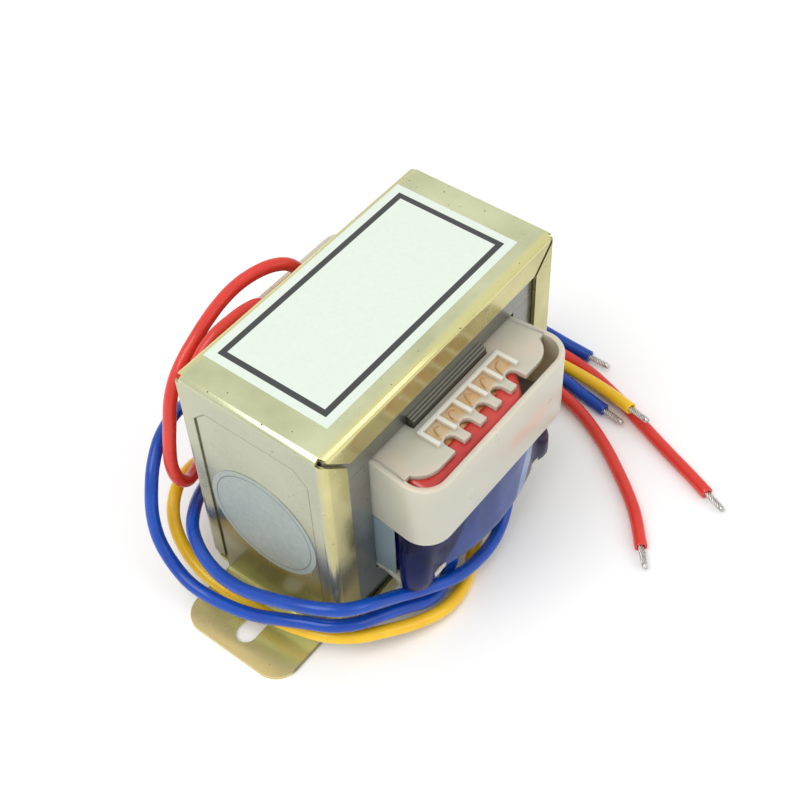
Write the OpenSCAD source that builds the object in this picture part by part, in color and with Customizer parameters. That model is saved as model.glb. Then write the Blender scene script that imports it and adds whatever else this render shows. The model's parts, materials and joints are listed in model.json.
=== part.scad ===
// Laminated chassis transformer: an EI core in a folded frame with slotted feet, a two-chamber
// moulded bobbin whose upper winding sits in a shroud, and five insulated flying leads.
// X runs along the core, Y through the stack, Z up; the feet stand on z = 0.

/* [Core] */
// Width of an outer leg, of the yoke and of the I bar
leg_w = 11; // [9:0.5:13]
// Width of a winding window
window_w = 11; // [9:0.5:13]
// Height of a winding window
window_h = 33; // [30:0.5:40]
// Thickness of one lamination
sheet_t = 0.5; // [0.45:0.01:0.53]
// Number of lamination layers, each one E and one I
sheet_count = 60; // [56:1:63]

/* [Frame] */
// Depth between the lips, inside; a short stack leaves a gap at the back
frame_depth = 32.2; // [32.2:0.1:36]
// Thickness of the frame sheet
frame_t = 0.8; // [0.7:0.05:1]
// Height of the lips along the top panel
top_lip = 6.3; // [4:0.1:9]
// Width of the lips down the end walls
end_lip = 6.1; // [4:0.1:9]
// Outside bend radius of the lips and of the top edges
bend_r = 1.6; // [1.3:0.1:2]
// Depth of the pressed panel in each end wall
panel_depth = 0.3; // [0.2:0.05:0.5]
// Height of the base channel's lips above the underside
base_lip = 4.4; // [3:0.1:7]

/* [Feet] */
// Width of a foot, and of the pressed panel above it
foot_w = 26; // [20:0.1:28]
// Reach of a foot from the end wall to its tip
foot_reach = 14.4; // [13.5:0.1:18]
// Radius of the foot's corners
foot_r = 5; // [2:0.5:7]
// Distance between the middles of the two slots
slot_pitch = 82; // [81:0.5:83]
// Width of a slot
slot_w = 4.4; // [3.5:0.1:5.5]
// Length of a slot over its round ends
slot_len = 9; // [6:0.5:9]

/* [Bobbin] */
// Thickness of the bobbin's tube and flanges
bobbin_wall = 1.2; // [0.8:0.1:1.5]
// Height of the divider's underside above the core's underside
divider_z = 27.6; // [22:0.1:32]
// Reach of the flanges beyond the ends of the tube's hole
flange_reach = 8.9; // [8.5:0.1:9.3]
// Extra half width of flanges and shroud where their sides reach the corners
flare = 1.2; // [0:0.1:2]
// Corner radius of the flanges
flange_r = 5.2; // [4:0.1:6]
// Reach at which the gap between flange and shroud starts
gap_start = 5.7; // [4.5:0.1:6.5]
// Width of that gap where it starts
gap_w = 1.4; // [0.5:0.1:2]
// Number of slots in the lead comb
comb_slots = 5; // [3:1:5]
// Distance from one comb slot to the next
comb_pitch = 4.7; // [4.5:0.1:4.9]
// Width of a comb slot
comb_slot_w = 2.8; // [2.7:0.1:3.2]
// Depth of a comb slot
comb_depth = 3.3; // [2:0.1:3.5]
// Depth of the pockets behind the comb
pocket_len = 4.2; // [3:0.1:4.3]
// Height of the pockets' rims
pocket_rim_h = 1; // [0.5:0.1:1.5]
// Thickness of the pockets' rims
pocket_rim_t = 0.8; // [0.5:0.1:1]
// Reach of the rims along the comb's fingers
pocket_tip = 0.7; // [0:0.1:1.5]

/* [Shroud] */
// Wall thickness of the shroud
shroud_wall = 1.0; // [0.8:0.1:1.3]
// Reach of the shroud beyond the ends of the tube's hole
shroud_reach = 12.3; // [12.2:0.1:13.5]
// Outside corner radius of the shroud
shroud_r = 5.5; // [4:0.5:6.5]
// Depth by which the shroud hangs below the divider
shroud_drop = 0; // [0:0.1:1]

/* [Windings] */
// Thickness of a layer of winding tape
tape_t = 0.4; // [0.2:0.1:0.6]
// Reach of the taped upper coil beyond the ends of the tube's hole
primary_reach = 10.9; // [10:0.1:11]
// Width of the flat across two corners of the upper coil
primary_flat = 13; // [6:0.5:14]
// Reach of the taped lower coil beyond the ends of the tube's hole, at its middle
secondary_reach = 11.5; // [10.5:0.1:12.5]
// Crown of the lower coil's front and back faces over their width
coil_crown = 5; // [2:0.5:6]
// Corner radius of the lower coil
coil_r = 5; // [3:0.5:6]
// Thickness of the liner film between coil and outer leg
liner_t = 0.2; // [0.1:0.05:0.3]
// Reach of the liner film beyond the ends of the tube's hole
liner_reach = 3; // [2:0.5:3.5]

/* [Shims] */
// Number of steel shims between core and bobbin
shim_count = 3; // [1:1:4]
// Thickness of one shim
shim_t = 0.5; // [0.3:0.05:0.6]
// Height by which the shims stand above the top flange
shim_proud = 2; // [1:0.1:4]
// Height by which each shim stays below the one behind it
shim_step = 0.3; // [0:0.1:0.6]

/* [Labels] */
// Length of the rating label
label_len = 55; // [40:1:60]
// Width of the rating label
label_w = 28; // [20:0.2:29]
// Margin between the round sticker and the edges of the pressed panel
sticker_margin = 0.5; // [0.3:0.1:5]
// Height of the sticker's middle as a share of the frame's height
sticker_rise = 0.47; // [0.4:0.01:0.6]
// Thickness of both
label_t = 0.12; // [0.08:0.01:0.2]

/* [Leads] */
// Diameter over the insulation of a lead
lead_d = 2.7; // [2:0.1:2.7]
// Diameter of the tinned strands
strand_d = 1.3; // [0.8:0.1:1.6]
// Length of bare strands at the end of a lead
bare_len = 5; // [3:0.5:8]

/* [Hidden] */
$fn = 48;
eps = 0.01;
corner_steps = 8;
crown_steps = 24;
lead_sides = 8;
first_side = [1, 0.2, 0.1];
// clearances
core_clear = 0.1;
butt_gap = 0.05;
sheet_gap = 0.02;
tube_clear = 0.2;
window_clear = 0.3;
face_clear = 0.4;
flange_clear = 0.5;
shroud_clear = 0.15;
shim_clear = 0.1;
coil_clear = 0.1;
liner_clear = 0.2;
lip_clear = 0.4;

// core
core_w = 4 * leg_w + 2 * window_w;
core_h = window_h + 2 * leg_w;
stack = sheet_t * sheet_count;
core_z = frame_t;
core_front = frame_depth / 2 - core_clear;
core_back = stack - core_front;
window_z = core_z + leg_w;
window_top = window_z + window_h;

// frame
panel_in = core_w / 2 + core_clear;
panel_out = panel_in + frame_t;
wall_in = panel_in + panel_depth;
wall_out = wall_in + frame_t;
face_in = frame_depth / 2;
face_out = face_in + frame_t;
top_in = core_z + core_h + core_clear;
top_out = top_in + frame_t;
strip_z = base_lip + lip_clear;
mitre_w = 0.9;
relief_r = 0.8;
panel_drop = 6;
panel_top = top_out - panel_drop;
panel_chamfer = 3;
foot_tip = panel_out + foot_reach;
foot_bend = 0.8;
foot_crease = frame_t + foot_bend;
beyond = 1;

// bobbin; its tube is as deep as the stack with the shims, and all else is centred on the tube
shim_pitch = shim_t + sheet_gap;
shim_pack = shim_count * shim_pitch + shim_clear;
tube_front = core_front + shim_pack;
tube_back = core_back + tube_clear;
tube_x = leg_w + tube_clear;
tube_half = (tube_front + tube_back) / 2;
bobbin_mid = (tube_back - tube_front) / 2;
flange_z0 = window_z + flange_clear;
flange_z1 = window_top - flange_clear;
divider = core_z + divider_z;
win_half = leg_w + window_w - window_clear;
sleeve_step = max(core_front + bobbin_mid, core_back - bobbin_mid) + face_clear;
sleeve_deep = tube_half + shroud_reach;
shroud_in = shroud_wall + shroud_clear;
shroud_z0 = divider - shroud_drop;
comb_tip = tube_half + flange_reach;
comb_root = comb_tip - comb_depth;
comb_y = comb_root + comb_slot_w / 2;
gap_y = tube_half + gap_start;
pocket_half = comb_slots * comb_pitch / 2;

// windings
primary_half = win_half - shroud_in - coil_clear;
primary_deep = tube_half + primary_reach;
primary_r = 2.5;
primary_z0 = divider + bobbin_wall + coil_clear;
primary_z1 = flange_z1 - bobbin_wall - coil_clear;
liner_x = win_half - liner_t;
secondary_half = liner_x - liner_clear;
secondary_deep = tube_half + secondary_reach;
secondary_z0 = flange_z0 + bobbin_wall + coil_clear;
secondary_z1 = divider - coil_clear;

// ---------- helpers ----------

// a rectangle centred on the origin with round corners
module round_rect(w, d, r) {
    square([w - 2 * r, d], center = true);
    square([w, d - 2 * r], center = true);
    for (sx = [-1, 1], sy = [-1, 1])
        translate([sx * (w / 2 - r), sy * (d / 2 - r)]) circle(r);
}

// points along an arc
function arc_points(centre, r, from, to, steps) =
    [for (k = [0:steps]) let (turn = from + (to - from) * k / steps) centre + r * [cos(turn), sin(turn)]];

module on_both_faces() {
    children();
    mirror([0, 1, 0]) children();
}

module at_both_ends() {
    children();
    mirror([1, 0, 0]) children();
}

// ---------- frame ----------

// a block with its four upright edges and its top edges rounded
module rounded_block(x, y, z, r) {
    intersection() {
        linear_extrude(z) round_rect(2 * x, 2 * y, r);
        rotate([90, 0, 90]) linear_extrude(2 * x, center = true) arch(y, z, r);
        rotate([90, 0, 0]) linear_extrude(2 * y, center = true) arch(x, z, r);
    }
}

// a rectangle standing on the axis with its two upper corners rounded
module arch(half, height, r) {
    translate([-half, 0]) square([2 * half, height - r]);
    translate([-half + r, 0]) square([2 * (half - r), height]);
    for (s = [-1, 1]) translate([s * (half - r), height - r]) circle(r);
}

// outline of the pressed panel, seen from the end
module panel_outline() {
    polygon([[-foot_w / 2, -eps], [foot_w / 2, -eps], [foot_w / 2, panel_top - panel_chamfer],
        [foot_w / 2 - panel_chamfer, panel_top], [panel_chamfer - foot_w / 2, panel_top],
        [-foot_w / 2, panel_top - panel_chamfer]]);
}

module panel_prism(x0, x1) {
    translate([x0, 0, 0]) rotate([90, 0, 90]) linear_extrude(x1 - x0) panel_outline();
}

// the slit left between two lips where the blank is notched for the corner bend
module lip_mitre() {
    translate([wall_out, face_out + beyond, top_out]) rotate([90, 0, 0]) linear_extrude(bend_r + beyond) {
        translate([-relief_r, -relief_r]) circle(relief_r);
        rotate(-135) translate([0, -mitre_w / 2]) square([1.5 * max(end_lip, top_lip), mitre_w]);
    }
}

// the end wall's panel bends outwards into the foot
module foot() {
    inner = panel_in + foot_crease;
    translate([0, foot_w / 2, 0]) rotate([90, 0, 0]) linear_extrude(foot_w) difference() {
        intersection() {
            translate([panel_in, 0]) square([foot_crease, foot_crease]);
            translate([inner, foot_crease]) circle(foot_crease);
        }
        translate([inner, foot_crease]) circle(foot_bend);
    }
    linear_extrude(frame_t) difference() {
        union() {
            translate([inner - eps, -foot_w / 2]) square([foot_tip - foot_r - inner + eps, foot_w]);
            translate([inner, foot_r - foot_w / 2]) square([foot_tip - inner, foot_w - 2 * foot_r]);
            for (s = [-1, 1]) translate([foot_tip - foot_r, s * (foot_w / 2 - foot_r)]) circle(foot_r);
        }
        foot_slot();
    }
}

module foot_slot() {
    half = (slot_len - slot_w) / 2;
    translate([slot_pitch / 2 - half, -slot_w / 2]) square([2 * half, slot_w]);
    for (s = [-1, 1]) translate([slot_pitch / 2 + s * half, 0]) circle(slot_w / 2);
}

// everything below the crease of the feet, over the width of the panels
module below_crease() {
    translate([-foot_tip, -foot_w / 2 - eps, -beyond])
        cube([2 * foot_tip, foot_w + 2 * eps, foot_crease + beyond]);
}

module cover_shell() {
    difference() {
        rounded_block(wall_out, face_out, top_out, bend_r);
        translate([0, 0, -eps]) rounded_block(wall_in, face_in, top_in + eps, bend_r - frame_t);
    }
    at_both_ends() panel_prism(panel_in, wall_in + eps);
}

module frame_cover() color([0.78, 0.76, 0.55]) {
    opening = wall_out - end_lip;
    difference() {
        cover_shell();
        // open front and back, inside the lips
        translate([-opening, -face_out - beyond, -beyond])
            cube([2 * opening, 2 * (face_out + beyond), top_out - top_lip + beyond]);
        // the lips and the strips beside the panels end above the base channel
        on_both_faces() translate([-wall_out - beyond, foot_w / 2, -beyond])
            cube([2 * (wall_out + beyond), face_out, strip_z + beyond]);
        at_both_ends() panel_prism(panel_out, wall_out + beyond);
        on_both_faces() at_both_ends() lip_mitre();
        below_crease();
    }
    at_both_ends() foot();
}

module base_channel() color([0.70, 0.68, 0.48]) {
    length = 2 * panel_in - 2 * core_clear;
    rotate([90, 0, 90]) linear_extrude(length, center = true) difference() {
        translate([0, base_lip]) mirror([0, 1]) arch(face_out, base_lip, bend_r);
        translate([-face_in, frame_t]) square([2 * face_in, base_lip]);
    }
}

// ---------- core ----------

// an E sheet lying flat with its back on the axis and its legs pointing up
module e_outline() {
    difference() {
        translate([-core_w / 2, 0]) square([core_w, core_h - leg_w - butt_gap]);
        for (s = [-1, 1]) translate([s * (leg_w + window_w / 2) - window_w / 2, leg_w])
            square([window_w, core_h]);
    }
}

module i_outline() {
    translate([-core_w / 2, core_h - leg_w]) square([core_w, leg_w]);
}

// every second layer of the stack, starting with layer first
module layers(first) {
    for (k = [first:2:sheet_count - 1])
        translate([0, (k + 1) * sheet_t - sheet_gap - core_front, core_z])
            rotate([90, 0, 0]) linear_extrude(sheet_t - sheet_gap) children();
}

module upside_down() {
    translate([0, core_h]) mirror([0, 1]) children();
}

module e_laminations_upright() color([0.48, 0.49, 0.47]) layers(0) e_outline();

module i_laminations_top() color([0.50, 0.51, 0.49]) layers(0) i_outline();

module e_laminations_inverted() color([0.46, 0.47, 0.45]) layers(1) upside_down() e_outline();

module i_laminations_bottom() color([0.50, 0.51, 0.49]) layers(1) upside_down() i_outline();

module core_shims() color([0.36, 0.36, 0.34]) {
    z0 = flange_z0 + bobbin_wall;
    z1 = flange_z1 + shim_proud;
    for (k = [0:shim_count - 1])
        translate([-leg_w, -core_front - (k + 1) * shim_pitch, z0])
            cube([2 * leg_w, shim_t, z1 - z0 - k * shim_step]);
}

// ---------- bobbin and shroud ----------

module on_bobbin(z = 0) {
    translate([0, bobbin_mid, z]) children();
}

// half width of the sleeve at a depth from the middle: its sides flare out beyond the core
function sleeve_half(y) = win_half + flare * (y - sleeve_step) / (sleeve_deep - shroud_r - sleeve_step);

// a closed plan from the outline of its front face, which runs from the left to the right
module plan_of(face) {
    polygon(concat(face, -face));
}

module sleeve_plan(inset) {
    corner_y = sleeve_deep - shroud_r;
    corner_x = sleeve_half(corner_y) - shroud_r;
    tilt = atan(flare / (corner_y - sleeve_step));
    near = win_half - inset;
    r = shroud_r - inset;
    plan_of(concat([[-near, -sleeve_step]],
        arc_points([-corner_x, -corner_y], r, 180 - tilt, 270, corner_steps),
        arc_points([corner_x, -corner_y], r, 270, 360 + tilt, corner_steps),
        [[near, -sleeve_step]]));
}

// a flange follows the sleeve's sides and leaves a gap for the leads along its front
module flange_plan(inset) {
    near = win_half - inset;
    far = sleeve_half(gap_y) - inset;
    corner_y = comb_tip - flange_r;
    corner_x = far - gap_w - flange_r;
    start = asin((gap_y - corner_y) / flange_r);
    plan_of(concat([[-near, -sleeve_step], [-far, -gap_y]],
        arc_points([-corner_x, -corner_y], flange_r, 180 + start, 270, corner_steps),
        arc_points([corner_x, -corner_y], flange_r, 270, 360 - start, corner_steps),
        [[far, -gap_y], [near, -sleeve_step]]));
}

module tube_hole() {
    square([2 * tube_x, 2 * tube_half], center = true);
}

module tube_plan(wall) {
    square([2 * (tube_x + wall), 2 * (tube_half + wall)], center = true);
}

// the comb's slots, cut from the front edge of a flange
module comb_cut() {
    for (k = [0:comb_slots - 1]) translate([(k - (comb_slots - 1) / 2) * comb_pitch, -comb_y]) {
        translate([-comb_slot_w / 2, -comb_depth]) square([comb_slot_w, comb_depth]);
        circle(comb_slot_w / 2);
    }
}

module comb_flange(z, inset) {
    translate([0, 0, z]) linear_extrude(bobbin_wall) difference() {
        flange_plan(inset);
        tube_hole();
        on_both_faces() comb_cut();
    }
}

// the row of square pockets that hold the lead joints, open towards the comb
module pockets() {
    back = comb_root - pocket_len;
    translate([0, 0, flange_z1 - eps]) linear_extrude(pocket_rim_h + eps) {
        translate([-pocket_half, -back - pocket_rim_t]) square([2 * pocket_half, pocket_rim_t]);
        for (k = [0:comb_slots])
            translate([k * comb_pitch - pocket_half - pocket_rim_t / 2, -comb_root - pocket_tip])
                square([pocket_rim_t, comb_root + pocket_tip - back]);
    }
}

module bobbin() color([0.90, 0.89, 0.82]) on_bobbin() {
    translate([0, 0, flange_z0]) linear_extrude(flange_z1 - flange_z0) difference() {
        tube_plan(bobbin_wall);
        tube_hole();
    }
    comb_flange(flange_z0, 0);
    comb_flange(flange_z1 - bobbin_wall, shroud_in);
    translate([0, 0, divider]) linear_extrude(bobbin_wall) difference() {
        flange_plan(shroud_in);
        tube_hole();
    }
    on_both_faces() pockets();
}

module winding_shroud() color([0.92, 0.90, 0.84]) {
    on_bobbin(shroud_z0) linear_extrude(flange_z1 - shroud_z0) difference() {
        sleeve_plan(0);
        sleeve_plan(shroud_wall);
    }
}

// ---------- windings ----------

// plan of the upper coil: the tape runs flat across one corner at each face
module primary_plan(inset) {
    half = primary_half - inset;
    deep = primary_deep - inset;
    difference() {
        round_rect(2 * half, 2 * deep, primary_r);
        for (turn = [0, 180]) rotate(turn) translate([half - primary_flat, -deep]) rotate(-45)
            square(2 * primary_flat);
    }
}

// plan of the lower coil: straight sides, crowned faces, and corners that run into the crown
module secondary_plan(inset) {
    crown_r = (secondary_half * secondary_half + coil_crown * coil_crown) / (2 * coil_crown);
    crown_y = crown_r - secondary_deep;
    corner_x = secondary_half - coil_r;
    corner_turn = asin(corner_x / (crown_r - coil_r));
    corner_y = (crown_r - coil_r) * cos(corner_turn) - crown_y;
    face = concat(
        arc_points([-corner_x, -corner_y], coil_r - inset, 180, 270 - corner_turn, corner_steps),
        arc_points([0, crown_y], crown_r - inset, 270 - corner_turn, 270 + corner_turn, crown_steps),
        arc_points([corner_x, -corner_y], coil_r - inset, 270 + corner_turn, 360, corner_steps));
    plan_of(face);
}

module primary_winding() color([0.62, 0.30, 0.16])
    on_bobbin(primary_z0) linear_extrude(primary_z1 - primary_z0) difference() {
        primary_plan(tape_t);
        tube_plan(bobbin_wall + coil_clear);
    }

module primary_tape() color([0.80, 0.16, 0.13])
    on_bobbin(primary_z0) linear_extrude(primary_z1 - primary_z0) difference() {
        primary_plan(0);
        primary_plan(tape_t);
    }

module secondary_winding() color([0.62, 0.30, 0.16])
    on_bobbin(secondary_z0) linear_extrude(secondary_z1 - secondary_z0) difference() {
        secondary_plan(tape_t);
        tube_plan(bobbin_wall + coil_clear);
    }

module secondary_tape() color([0.10, 0.18, 0.55])
    on_bobbin(secondary_z0) linear_extrude(secondary_z1 - secondary_z0) difference() {
        secondary_plan(0);
        secondary_plan(tape_t);
    }

module window_liners() color([0.60, 0.66, 0.72]) {
    reach = tube_half + liner_reach;
    foot = flange_z0 + bobbin_wall;
    on_bobbin(foot) at_both_ends() translate([liner_x, -reach])
        cube([liner_t, 2 * reach, shroud_z0 - foot - coil_clear]);
}

// ---------- labels ----------

module rating_label() color([0.93, 0.95, 0.92])
    translate([-label_len / 2, face_out - bend_r - label_w, top_out]) cube([label_len, label_w, label_t]);

module round_sticker() color([0.74, 0.77, 0.76])
    translate([-panel_out, 0, sticker_rise * top_out]) rotate([0, -90, 0])
        cylinder(r = foot_w / 2 - sticker_margin, h = label_t);

// ---------- leads ----------

// route points, from the winding to the end of the insulation
red_1_route = [[4.7, 21.2, primary_z1], [4.7, 21.2, 45.7], [4.1, 21.5, 48.8], [2.3, 22.6, 51.1],
    [-0.6, 24.2, 51.9], [-4.2, 25.9, 51.4], [-8, 27, 50.4], [-12, 27.2, 49.4], [-16, 26.8, 48.5],
    [-19.8, 26.3, 47.3], [-23.4, 26.1, 45.4], [-26.7, 25.9, 42.6], [-29.1, 25.6, 39],
    [-30.8, 25.2, 34.4], [-32.4, 24.8, 29.4], [-33.5, 24.2, 25], [-33.2, 23.6, 21], [-31.1, 23.8, 18],
    [-27.6, 25.2, 16.3], [-23.5, 27.4, 15], [-17.5, 30.3, 12.6], [-10, 32.8, 9], [-2, 34.8, 5],
    [6.5, 36, 2.1], [16, 36.4, 1.4], [26, 35.4, 1.4], [35.4, 32, 1.4], [43.6, 26, 1.4],
    [49.8, 18, 1.4], [52.9, 9, 1.4], [53.6, 0.5, 1.4], [53.2, -8.5, 1.4], [52, -17.5, 1.4],
    [49.4, -26, 1.4], [46, -34.5, 1.4], [43, -42, 1.4], [40, -50, 1.4], [38, -55, 1.4]];
red_2_route = [[-4.7, 21.2, primary_z1], [-4.7, 21.2, 44], [-5.5, 21.2, 47], [-7.7, 21.3, 49.2],
    [-10.8, 21.6, 50], [-14.4, 22, 49.9], [-18, 22.5, 49.2], [-21.5, 22.7, 47.6], [-24.7, 22.5, 45],
    [-27.1, 22.1, 41.4], [-28, 21.7, 37], [-28.2, 21.2, 31], [-27.8, 20.8, 25], [-27, 20.4, 19],
    [-26.2, 20.2, 13.5], [-24.8, 20.2, 9], [-21.8, 21, 5.2], [-17, 22.6, 2.7], [-10, 24.4, 1.5],
    [0, 25.4, 1.4], [10, 25.4, 1.4], [20, 24.6, 1.4], [28.6, 22.3, 1.5], [35.4, 18, 2],
    [40.2, 11.6, 2.5], [42.8, 4, 2.4], [43.6, -4.5, 2.4], [43.1, -12.5, 2.4], [41.2, -21.5, 1.5],
    [37, -30, 1.4], [31.4, -38, 1.4], [25.5, -45, 1.4], [18.5, -51, 1.4]];
blue_1_route = [[9.4, -24.7, secondary_z0], [9.3, -24.8, 10.5], [7.6, -25.6, 7.2], [4.2, -26.7, 5.4],
    [0, -27.7, 5.1], [-4.8, -27.9, 5.2], [-11.4, -27.6, 6.8], [-18.2, -25.4, 8.9], [-24.6, -22.9, 11.5],
    [-30.5, -21.4, 14.9], [-34.6, -19.2, 16.3], [-37.4, -15.4, 16.5], [-39.2, -10.5, 15.7],
    [-40.4, -5, 14.1], [-41, 0.5, 12.4], [-40.9, 6, 11.3], [-40.2, 10.5, 11.2], [-38.8, 14.6, 11.8],
    [-36.6, 18.2, 12.4], [-33.4, 21, 12.2], [-29.2, 23.8, 10.8], [-24, 26.4, 8.4], [-17.5, 28.1, 5.4],
    [-9, 28.9, 2.7], [0, 29, 1.5], [10, 29, 1.4], [20, 28.2, 1.4], [28.8, 25.8, 1.4], [36.6, 21.2, 1.4],
    [42.4, 14.8, 2.2], [45.6, 7, 2.5], [46.6, -2, 2.4], [46.6, -11, 2.4], [45.7, -19, 1.6],
    [44.6, -26, 1.4]];
blue_2_route = [[-9.4, -24.7, secondary_z0], [-9.4, -24.7, 9.8], [-10.1, -24.7, 6.7], [-12.1, -25, 4.5],
    [-15, -25.5, 3.7], [-19, -25.2, 4.8], [-23, -23.9, 6.8], [-27.8, -22.1, 8.6], [-32.6, -20.2, 10],
    [-36.3, -16.9, 10.6], [-38.6, -12.3, 10.3], [-40.5, -7.5, 9.3], [-42, -2.5, 7.7], [-43, 3, 6.6],
    [-43.6, 8.5, 6.1], [-43.8, 13.5, 6.7], [-43.3, 18, 8.9], [-42.3, 21.8, 12.4], [-40.8, 24, 17],
    [-38.6, 25.4, 21.6], [-35.4, 27.2, 25], [-30.8, 29.4, 26.9], [-25, 31.6, 26.4],
    [-19, 33.8, 23.4], [-12.5, 36, 18.8], [-5.5, 37.9, 13.4], [2, 39.2, 8.2], [10, 40, 4.2],
    [18, 40.2, 1.9], [26.4, 39.4, 1.4], [35.2, 36.4, 1.4], [43.6, 31.2, 1.4], [50.6, 24, 1.4],
    [54.8, 15.4, 1.4], [56.6, 6.5, 1.4], [56.7, -2, 1.4], [56.2, -9, 1.4], [56, -15, 1.4]];
yellow_route = [[0, -24.7, secondary_z0], [0, -24.7, 10], [-0.8, -24.6, 6.1], [-3.1, -25.1, 3],
    [-6.8, -26.8, 1.7], [-11.5, -28.1, 1.6], [-17, -28.1, 2.1], [-23, -26.2, 3.4], [-28.6, -23.3, 4.9],
    [-33.4, -20, 5.9], [-36.8, -15.7, 6.4], [-38.6, -10, 5.9], [-39.3, -4, 4.8], [-39.5, 2, 4],
    [-39.6, 8, 3.8], [-39.6, 13.5, 4.4], [-39, 18.4, 6.6], [-37.6, 22.2, 9.8], [-35.2, 24.8, 12.8],
    [-31.2, 26.9, 14.4], [-26, 28.6, 13.2], [-20.5, 30.1, 10.2], [-14, 31.4, 6.6], [-6, 32.4, 3.3],
    [3, 32.8, 1.7], [14, 32.9, 1.4], [24.8, 31.6, 1.4], [34.2, 28.2, 1.4], [41.8, 22.5, 1.4],
    [47.2, 15.2, 1.4], [50, 7, 1.4], [50.6, -1.5, 1.4], [50.1, -9, 1.7], [49.2, -17, 2.6],
    [47.8, -24.5, 3.6], [46, -31.5, 4.4]];

function unit(v) = v / norm(v);
function heading(p, i) = unit(p[min(i + 1, len(p) - 1)] - p[max(i - 1, 0)]);
function square_to(v, t) = unit(v - (v * t) * t);

// one side vector per point, carried along the route without twist
function sides(p) = [for (i = 0, s = square_to(first_side, heading(p, 0)); i < len(p);
    i = i + 1, s = i < len(p) ? square_to(s, heading(p, i)) : s) s];

module tube_along(p, d) {
    side = sides(p);
    count = len(p);
    ring_points = [for (i = [0:count - 1]) let (t = heading(p, i), u = side[i], v = cross(t, u))
        for (k = [0:lead_sides - 1])
            p[i] + d / 2 * (cos(360 * k / lead_sides) * u + sin(360 * k / lead_sides) * v)];
    walls = [for (i = [0:count - 2], k = [0:lead_sides - 1])
        let (a = i * lead_sides + k, b = i * lead_sides + (k + 1) % lead_sides)
            [a, a + lead_sides, b + lead_sides, b]];
    start_cap = [for (k = [0:lead_sides - 1]) k];
    end_cap = [for (k = [0:lead_sides - 1]) count * lead_sides - 1 - k];
    polyhedron(ring_points, concat([start_cap, end_cap], walls));
}

// the bare strands go straight on from the end of the insulation
module strands(p) {
    last = p[len(p) - 1];
    way = heading(p, len(p) - 1);
    tube_along([last, last + bare_len / 2 * way, last + bare_len * way], strand_d);
}

module red_lead_1() color([0.85, 0.12, 0.10]) tube_along(red_1_route, lead_d);

module red_lead_1_strands() color([0.75, 0.74, 0.70]) strands(red_1_route);

module red_lead_2() color([0.85, 0.12, 0.10]) tube_along(red_2_route, lead_d);

module red_lead_2_strands() color([0.75, 0.74, 0.70]) strands(red_2_route);

module blue_lead_1() color([0.06, 0.22, 0.72]) tube_along(blue_1_route, lead_d);

module blue_lead_1_strands() color([0.75, 0.74, 0.70]) strands(blue_1_route);

module blue_lead_2() color([0.06, 0.22, 0.72]) tube_along(blue_2_route, lead_d);

module blue_lead_2_strands() color([0.75, 0.74, 0.70]) strands(blue_2_route);

module yellow_lead() color([0.92, 0.76, 0.10]) tube_along(yellow_route, lead_d);

module yellow_lead_strands() color([0.75, 0.74, 0.70]) strands(yellow_route);

frame_cover();
base_channel();
e_laminations_upright();
e_laminations_inverted();
i_laminations_top();
i_laminations_bottom();
core_shims();
bobbin();
winding_shroud();
primary_winding();
primary_tape();
secondary_winding();
secondary_tape();
window_liners();
rating_label();
round_sticker();
red_lead_1();
red_lead_1_strands();
red_lead_2();
red_lead_2_strands();
blue_lead_1();
blue_lead_1_strands();
blue_lead_2();
blue_lead_2_strands();
yellow_lead();
yellow_lead_strands();
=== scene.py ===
import json
import math
import random

import bpy
from mathutils import Matrix, Vector, noise


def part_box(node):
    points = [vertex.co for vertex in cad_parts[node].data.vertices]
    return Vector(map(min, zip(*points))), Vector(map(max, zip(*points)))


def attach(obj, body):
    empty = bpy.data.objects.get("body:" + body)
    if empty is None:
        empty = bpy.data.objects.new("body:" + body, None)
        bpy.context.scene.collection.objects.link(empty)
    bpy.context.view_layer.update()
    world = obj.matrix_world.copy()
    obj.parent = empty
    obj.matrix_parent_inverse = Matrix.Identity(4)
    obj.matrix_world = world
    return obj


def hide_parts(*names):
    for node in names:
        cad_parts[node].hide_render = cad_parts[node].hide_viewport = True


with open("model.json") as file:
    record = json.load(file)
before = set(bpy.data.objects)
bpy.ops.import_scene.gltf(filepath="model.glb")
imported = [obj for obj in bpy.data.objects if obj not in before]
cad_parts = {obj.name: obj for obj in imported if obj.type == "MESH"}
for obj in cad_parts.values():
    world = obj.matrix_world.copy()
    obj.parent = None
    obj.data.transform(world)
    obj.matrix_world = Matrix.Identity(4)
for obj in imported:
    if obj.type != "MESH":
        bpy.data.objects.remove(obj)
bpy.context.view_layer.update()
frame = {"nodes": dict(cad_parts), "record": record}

# ---------- places and sizes, in millimetres like the part's source ----------

MM = 0.001
cover_low, cover_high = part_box("frame_cover")
ORIGIN = Vector(((cover_low.x + cover_high.x) / 2, (cover_low.y + cover_high.y) / 2, 0))

FRAME_TOP = 56.7
FRAME_FACE = 16.9
BEND_EDGE = 14.6
END_WALL = 33.5
# the outline pressed into the frame's end walls
PANEL_HALF, PANEL_TOP, PANEL_CHAMFER = 13, 50.7, 3

# the bobbin's middle in depth, and half the depth of its tube's hole
BOBBIN_Y = -1.73
TUBE_HALF = 15.93
COMB_Z_TOP = 43.0
COMB_Z_LOW = 13.6
COMB_PITCH = 4.7
COMB_SLOTS = 5
# the row of pockets on the upper flange: its depths from the bobbin's middle, and half its length
POCKETS_NEAR, POCKETS_FAR, POCKETS_HALF = 17.5, 21.6, 11.7

WIN_HALF = 21.7
SHROUD_T = 1.0
SHROUD_R = 5.5
SHROUD_HALF = WIN_HALF + 1.2
SHROUD_DEEP = TUBE_HALF + 12.3
FLANGE_TOP = 44.3
SHROUD_LOW, SHROUD_HIGH = 28.4, FLANGE_TOP
# depth at which the shroud's sleeve narrows to fit between the outer legs
SLEEVE_STEP = 14.67

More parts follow.
